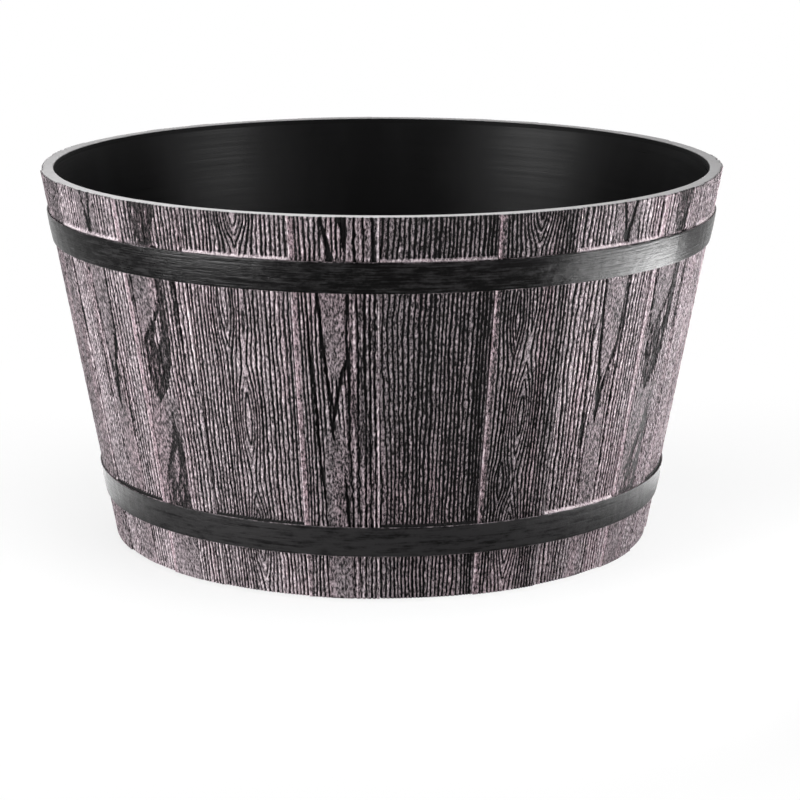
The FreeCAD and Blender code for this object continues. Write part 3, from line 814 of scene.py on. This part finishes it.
class Finish:
    """A node tree under construction: of a material, or of the world."""

    def __init__(self, owner):
        owner.use_nodes = True
        self.tree = owner.node_tree
        self.tree.nodes.clear()

    def node(self, kind, settings=None, sockets=None, output=0):
        """Adds a node: settings first, then its sockets' values or links; gives one of its outputs."""
        made = self.tree.nodes.new(kind)
        for key, value in (settings or {}).items():
            setattr(made, key, value)
        for key, value in (sockets or {}).items():
            if isinstance(value, Wire):
                self.tree.links.new(value.socket, made.inputs[key])
            else:
                made.inputs[key].default_value = value
        return Wire(self, made.outputs[output]) if len(made.outputs) else made

    def place(self, scale):
        """Object coordinates, stretched by a scale along each axis."""
        here = self.node("ShaderNodeTexCoord", output="Object")
        return self.node("ShaderNodeMapping", {"vector_type": "POINT"}, {"Vector": here, "Scale": scale})

    def noise(self, scale, detail=2.0, roughness=0.5):
        """Cloudy noise from 0 to 1 whose cells are one over the scale across."""
        spread = scale if isinstance(scale, tuple) else (scale,) * 3
        settings = {"noise_dimensions": "3D"}
        sockets = {"Vector": self.place(spread), "Scale": 1.0, "Detail": detail, "Roughness": roughness}
        return self.node("ShaderNodeTexNoise", settings, sockets, "Fac")

    def smooth(self, value, low, high, start=0.0, end=1.0):
        """Smooth step of a value between two limits."""
        sockets = {"Value": value, "From Min": low, "From Max": high, "To Min": start, "To Max": end}
        return self.node("ShaderNodeMapRange", {"interpolation_type": "SMOOTHSTEP"}, sockets)

    def blend(self, share, first, second):
        """Mix of two colours."""
        return self.node("ShaderNodeMix", {"data_type": "RGBA"}, {0: share, 6: first, 7: second}, 2)

    def value(self, name):
        """One of the piece's own values, stored at its points."""
        return self.node("ShaderNodeAttribute", {"attribute_name": name}, output="Fac")

    def plastic(self, tone, roughness, relief, depth, gloss):
        """Plastic with its colour, gloss and a fine relief of a given depth, as the surface."""
        bump = self.node("ShaderNodeBump", {}, {"Height": relief, "Distance": depth, "Strength": 1.0})
        sockets = {"Base Color": tone, "Roughness": roughness, "Normal": bump, "Specular IOR Level": gloss}
        surface = self.node("ShaderNodeBsdfPrincipled", {}, sockets)
        self.node("ShaderNodeOutputMaterial", {}, {"Surface": surface})


def colour(value, factor=1.0, lift=0.0):
    """A colour without transparency, times a factor and raised by a lift."""
    return (*(part * factor + lift for part in value), 1.0)


def new_finish(name):
    """A named material, ready to be wired."""
    material = bpy.data.materials.new(name)
    return material, Finish(material)


def dry_brushed(finish, colours):
    """Dry-brushed wood effect: (colour, roughness, relief). Paint takes on the raised grain, broken by fine
    specks, and leaves the grooves charcoal; the strips along the joints are rosier. The palest specks are
    partly heavy paint and partly painted glints."""
    speck = finish.noise((1200.0, 1200.0, 480.0), 1.0, 0.5)
    dust = finish.noise((2400.0, 2400.0, 2000.0), 1.0)
    cloud = finish.noise((45.0, 45.0, 12.0), 3.0)
    grit = speck + (dust - 0.5) * 0.4
    cover = finish.value("paint") * (1 + (grit - 0.5) * 1.9) + (cloud - 0.5) * 0.3
    painted = finish.smooth(cover, 0.40, 1.10)
    # Painted glints: where the cover is highest the tone goes to the palest colour, partly heavy paint and
    # partly painted glints.
    thick_and_glint = finish.smooth(cover, 0.98, 1.55)
    rosy = finish.value("rose") + (cloud - 0.5) * 0.6
    paint = finish.blend(finish.smooth(rosy, 0.15, 0.95), colour(colours.ash), colour(colours.rose))
    tone = finish.blend(painted, colour(colours.charcoal), paint)
    tone = finish.blend(thick_and_glint, tone, colour(colours.chalk_and_glint))
    roughness = 0.46 + painted * 0.12 + (speck - 0.5) * 0.12
    return tone, roughness, speck + dust * 0.35 + painted * 0.25


def stave_finish(colours):
    """Dry-brushed wood effect on satin plastic."""
    material, finish = new_finish("dry_brushed_wood_effect")
    tone, roughness, relief = dry_brushed(finish, colours)
    finish.plastic(tone, roughness, relief, depth=0.0009, gloss=0.02)
    return material


def rim_finish(colours):
    """Flecked grey on top, the staves' wood effect outside and the tub's black underneath."""
    material, finish = new_finish("pale_rim")
    tone, roughness, relief = dry_brushed(finish, colours)
    wood = finish.value("wood")
    fleck = finish.noise(420.0, 4.0, 0.65)
    scuff = finish.noise(60.0, 3.0)
    pale = finish.smooth(fleck + scuff * 0.5, 0.35, 0.75)
    grey = finish.blend(pale, colour(colours.rim, 0.62), colour(colours.rim))
    grey = finish.blend(finish.value("lit"), colour(colours.tub), grey)
    tone = finish.blend(wood, grey, tone)
    roughness = (0.50 + (fleck - 0.5) * 0.2) * (1 - wood) + roughness * wood
    finish.plastic(tone, roughness, relief * wood + fleck * 0.1, depth=0.0009, gloss=0.03)
    return material


def hoop_finish(colours):
    """Satin black with fine lines along the hoop, worn in strokes and rubbed pale at its edges; the lower
    hoop's higher wear_and_sheen value makes it paler and rougher, partly as scuffing and partly as painted
    sheen.
    """
    material, finish = new_finish("satin_hoop")
    line = finish.noise((30.0, 30.0, 1100.0), 3.0, 0.6)
    stroke = finish.noise((85.0, 85.0, 360.0), 4.0, 0.6)
    scuff = finish.noise((520.0, 520.0, 900.0), 3.0, 0.6)
    cloud = finish.noise((22.0, 22.0, 60.0), 3.0)
    wear_and_sheen, lane = finish.value("wear_and_sheen"), finish.value("lane")
    worn = finish.smooth(stroke + (line - 0.5) * 0.6 + (scuff - 0.5) * 0.3 + wear_and_sheen, 0.42, 0.76)
    tone = finish.blend(worn, colour(colours.hoop), colour(colours.hoop, 3.0, 0.008))
    rubbed = finish.smooth(lane * lane + (scuff - 0.5) * 0.3 + (stroke - 0.5) * 0.3, 0.93, 1.08)
    tone = finish.blend(rubbed, tone, colour(colours.ash))
    roughness = 0.24 + (cloud - 0.5) * 0.16 + (line - 0.5) * 0.24 + wear_and_sheen
    finish.plastic(tone, roughness, line + scuff * 0.6, depth=0.00022, gloss=0.035)
    return material


def tub_finish(colours):
    """Smooth black with slow flow marks and faint lines round the wall."""
    material, finish = new_finish("smooth_tub")
    flow = finish.noise((14.0, 14.0, 5.0), 4.0, 0.55)
    line = finish.noise((9.0, 9.0, 520.0), 3.0, 0.6)
    dust = finish.noise(900.0, 2.0)
    tone = finish.blend(finish.smooth(flow, 0.35, 0.75), colour(colours.tub), colour(colours.tub, 1.9))
    roughness = 0.36 + (flow - 0.5) * 0.40 + (line - 0.5) * 0.28
    finish.plastic(tone, roughness, line * 0.7 + dust * 0.3 + flow, depth=0.00008, gloss=0.04)
    return material


# Operators, in the order in which the pot goes together

class POT_OT_tub(Operator):
    """Adds the smooth black tub with its drained floor"""
    bl_idname = "pot.tub"
    bl_label = "Tub"

    def execute(self, context):
        points, faces, caps = tub_points(context.scene.pot_sizes)
        piece = add_piece("smooth_tub", points, faces, caps, weld=True, sharp=math.radians(35))
        finish_piece(piece, "inner_tub", tub_finish(context.scene.pot_finishes))
        return {"FINISHED"}


class POT_OT_staves(Operator):
    """Adds the wide and narrow wood-effect staves"""
    bl_idname = "pot.staves"
    bl_label = "Staves"

    def execute(self, context):
        scene = context.scene
        material = stave_finish(scene.pot_finishes)
        for board in boards(scene.pot_sizes, True) + boards(scene.pot_sizes, False):
            points, faces, caps, values = stave_points(scene.pot_sizes, scene.pot_grain, board)
            piece = add_piece(f"grained_{board.name}", points, faces, caps, values)
            finish_piece(piece, board.name, material)
        return {"FINISHED"}


class POT_OT_hoops(Operator):
    """Adds the two satin black hoops"""
    bl_idname = "pot.hoops"
    bl_label = "Hoops"

    def execute(self, context):
        sizes = context.scene.pot_sizes
        material = hoop_finish(context.scene.pot_finishes)
        # The lower hoop's wear_and_sheen value is partly scuffing and partly painted sheen.
        bands = (("upper_hoop", sizes.upper_hoop, 11, 0.0), ("lower_hoop", sizes.lower_hoop, 23, 0.18))
        for node, middle, seed, wear_and_sheen in bands:
            points, faces, values = hoop_points(sizes, middle, seed, wear_and_sheen)
            piece = add_piece(f"satin_{node}", points, faces, values=values)
            finish_piece(piece, node, material)
        return {"FINISHED"}


class POT_OT_rim(Operator):
    """Adds the flat pale rim"""
    bl_idname = "pot.rim"
    bl_label = "Rim"

    def execute(self, context):
        points, faces, values = rim_points(context.scene.pot_sizes, context.scene.pot_grain)
        piece = add_piece("pale_rim_ring", points, faces, values=values)
        finish_piece(piece, "rim_ring", rim_finish(context.scene.pot_finishes))
        return {"FINISHED"}


WHITE = (1.0, 1.0, 1.0, 1.0)
FLOOR_GREY = (0.86, 0.86, 0.86, 1.0)
FLOOR_SIDES, FLOOR_RINGS = 96, 8
FRAME_WIDTH, CLIP_NEAR, CLIP_FAR = 36.0, 0.05, 100.0        # millimetres, then metres from the camera
SHADOW_REACH = (0.20, 0.52)     # metres from the axis over which the shadow fades out
UNDER_POT = (0.145, 0.155)      # metres from the axis; the floor inside is never white


def add_lamp(name, place, target, width, height, watts, lights="all"):
    """A soft rectangular lamp that faces a target, unseen by the camera, for gloss, matt or all."""
    data = bpy.data.lights.new(name, "AREA")
    data.shape, data.size, data.size_y, data.energy = "RECTANGLE", width, height, watts
    lamp = bpy.data.objects.new(name, data)
    lamp.location = place
    lamp.rotation_euler = (Vector(target) - Vector(place)).to_track_quat("-Z", "Y").to_euler()
    lamp.visible_camera = False
    lamp.visible_diffuse = lights != "gloss"
    lamp.visible_glossy = lights != "matt"
    bpy.context.scene.collection.objects.link(lamp)


def white_to_the_eye(finish, shaded, strength):
    """White where the camera, a reflection or a clear piece looks at it, and shaded for all other light."""
    eye = finish.node("ShaderNodeLightPath", output="Is Camera Ray")
    glossy = finish.node("ShaderNodeLightPath", output="Is Glossy Ray")
    clear = finish.node("ShaderNodeLightPath", output="Is Transmission Ray")
    seen = finish.node("ShaderNodeMath", {"operation": "MINIMUM"}, {0: eye + glossy + clear, 1: 1.0})
    white = finish.node("ShaderNodeEmission", {}, {"Color": WHITE, "Strength": 1.0})
    return finish.node("ShaderNodeMixShader", {}, {0: seen * strength, 1: shaded, 2: white})


# Name, place, target, width and height in metres, watts, and what the lamp lights where that isn't all
LAMPS = (
    ("right_strip", (0.29, -0.26, 0.16), (0.04, -0.08, 0.17), 0.50, 0.09, 1.75, "matt"),
    ("right_floor_card", (0.37, 0.02, 0.004), (0.37, 0.02, 0.50), 0.32, 0.30, 3.2, "gloss"),
    ("left_floor_card", (-0.25, 0.04, 0.004), (-0.25, 0.04, 0.50), 0.12, 0.24, 0.48, "gloss"),
    ("right_card", (0.40, -0.10, 0.055), (0.17, -0.05, 0.187), 0.36, 0.10, 5.0, "gloss"),
    ("left_softbox", (-0.60, -0.45, 0.10), (-0.05, -0.02, 0.08), 0.50, 0.20, 8.0),
    ("low_card", (-0.61, -0.46, 0.10), (-0.05, -0.02, 0.08), 0.50, 0.20, 12.0, "gloss"),
    ("left_card", (-0.58, -0.24, 0.34), (-0.05, -0.02, 0.14), 0.44, 0.40, 10.0, "gloss"),
    ("high_card", (0.80, -0.30, 0.50), (0.0, 0.0, 0.16), 0.50, 0.40, 10.0, "gloss"),
    ("rim_softbox", (-0.12, -0.24, 0.60), (-0.08, -0.18, 0.22), 0.30, 0.20, 1.4),
    ("top_softbox", (-0.10, 0.00, 1.30), (0.0, 0.0, 0.20), 0.80, 0.60, 4.0),
    ("back_left_softbox", (-0.22, 0.80, 0.11), (-0.03, 0.05, 0.11), 0.50, 0.20, 8.0, "matt"),
    ("back_right_softbox", (0.22, 0.80, 0.11), (0.03, 0.05, 0.11), 0.50, 0.20, 8.0, "matt"),
)


class POT_OT_stage(Operator):
    """Adds the white studio: floor, even light, soft lamps and camera"""
    bl_idname = "pot.stage"
    bl_label = "Stage"

    def execute(self, context):
        scene, stage = context.scene, context.scene.pot_stage
        radius = stage.floor_radius * np.linspace(0.0, 1.0, FLOOR_RINGS + 1)[1:, None] ** 2
        points = turned(radius, np.zeros((FLOOR_RINGS, 1)), circle(FLOOR_SIDES)[None, :])
        faces = quads(FLOOR_RINGS, FLOOR_SIDES, wrap_columns=True)[:, ::-1]
        floor = add_piece("studio_floor", points, faces, [np.arange(FLOOR_SIDES)])
        material, finish = new_finish("studio_white")
        shaded = finish.node("ShaderNodeBsdfDiffuse", {}, {"Color": FLOOR_GREY})
        here = finish.node("ShaderNodeTexCoord", output="Object")
        away = finish.node("ShaderNodeVectorMath", {"operation": "LENGTH"}, {0: here}, "Value")
        shadow = finish.smooth(away, *SHADOW_REACH, stage.shadow, 0.0)
        outside = finish.smooth(away, *UNDER_POT)
        surface = white_to_the_eye(finish, shaded, outside * (1 - shadow))
        finish.node("ShaderNodeOutputMaterial", {}, {"Surface": surface})
        floor.data.materials.append(material)

        scene.world = bpy.data.worlds.new("studio_room")
        room = Finish(scene.world)
        dim = room.node("ShaderNodeBackground", {}, {"Color": WHITE, "Strength": stage.ambient})
        room.node("ShaderNodeOutputWorld", {}, {"Surface": white_to_the_eye(room, dim, 1.0)})

        for lamp in LAMPS:
            add_lamp(*lamp)

        data = bpy.data.cameras.new("photo_camera")
        data.lens, data.sensor_width, data.shift_x = stage.lens, FRAME_WIDTH, stage.shift
        data.clip_start, data.clip_end = CLIP_NEAR, CLIP_FAR
        camera = bpy.data.objects.new("photo_camera", data)
        camera.location = (0.0, -stage.distance, stage.eye_height)
        camera.rotation_euler = Euler((math.pi / 2 - stage.pitch, 0.0, 0.0))
        scene.collection.objects.link(camera)
        scene.camera = camera
        scene.view_settings.view_transform = "Standard"
        return {"FINISHED"}


class POT_PT_panel(Panel):
    """Lists the pot's pieces and the values behind them"""
    bl_idname = "POT_PT_panel"
    bl_label = "Half-barrel pot"
    bl_space_type = "VIEW_3D"
    bl_region_type = "UI"
    bl_category = "Pot"

    def draw(self, context):
        for operator in OPERATORS:
            self.layout.operator(operator.bl_idname)
        for key in GROUPS:
            group = getattr(context.scene, key)
            box = self.layout.box()
            for field in group.__annotations__:
                box.prop(group, field)


GROUPS = {
    "pot_sizes": PotSizes,
    "pot_grain": GrainSizes,
    "pot_finishes": Finishes,
    "pot_stage": StageSettings,
}
OPERATORS = (POT_OT_tub, POT_OT_staves, POT_OT_hoops, POT_OT_rim, POT_OT_stage)


def register():
    """Makes the classes known and gives the scene one group of each kind."""
    for item in (*GROUPS.values(), *OPERATORS, POT_PT_panel):
        bpy.utils.register_class(item)
    for key, group in GROUPS.items():
        setattr(bpy.types.Scene, key, PointerProperty(type=group))


def unregister():
    """Takes back what register did."""
    for key in GROUPS:
        delattr(bpy.types.Scene, key)
    for item in (POT_PT_panel, *reversed(OPERATORS), *reversed(GROUPS.values())):
        bpy.utils.unregister_class(item)


def main():
    """Builds every piece and the stage."""
    register()
    bpy.ops.pot.tub()
    bpy.ops.pot.staves()
    bpy.ops.pot.hoops()
    bpy.ops.pot.rim()
    bpy.ops.pot.stage()


if __name__ == "__main__":
    main()
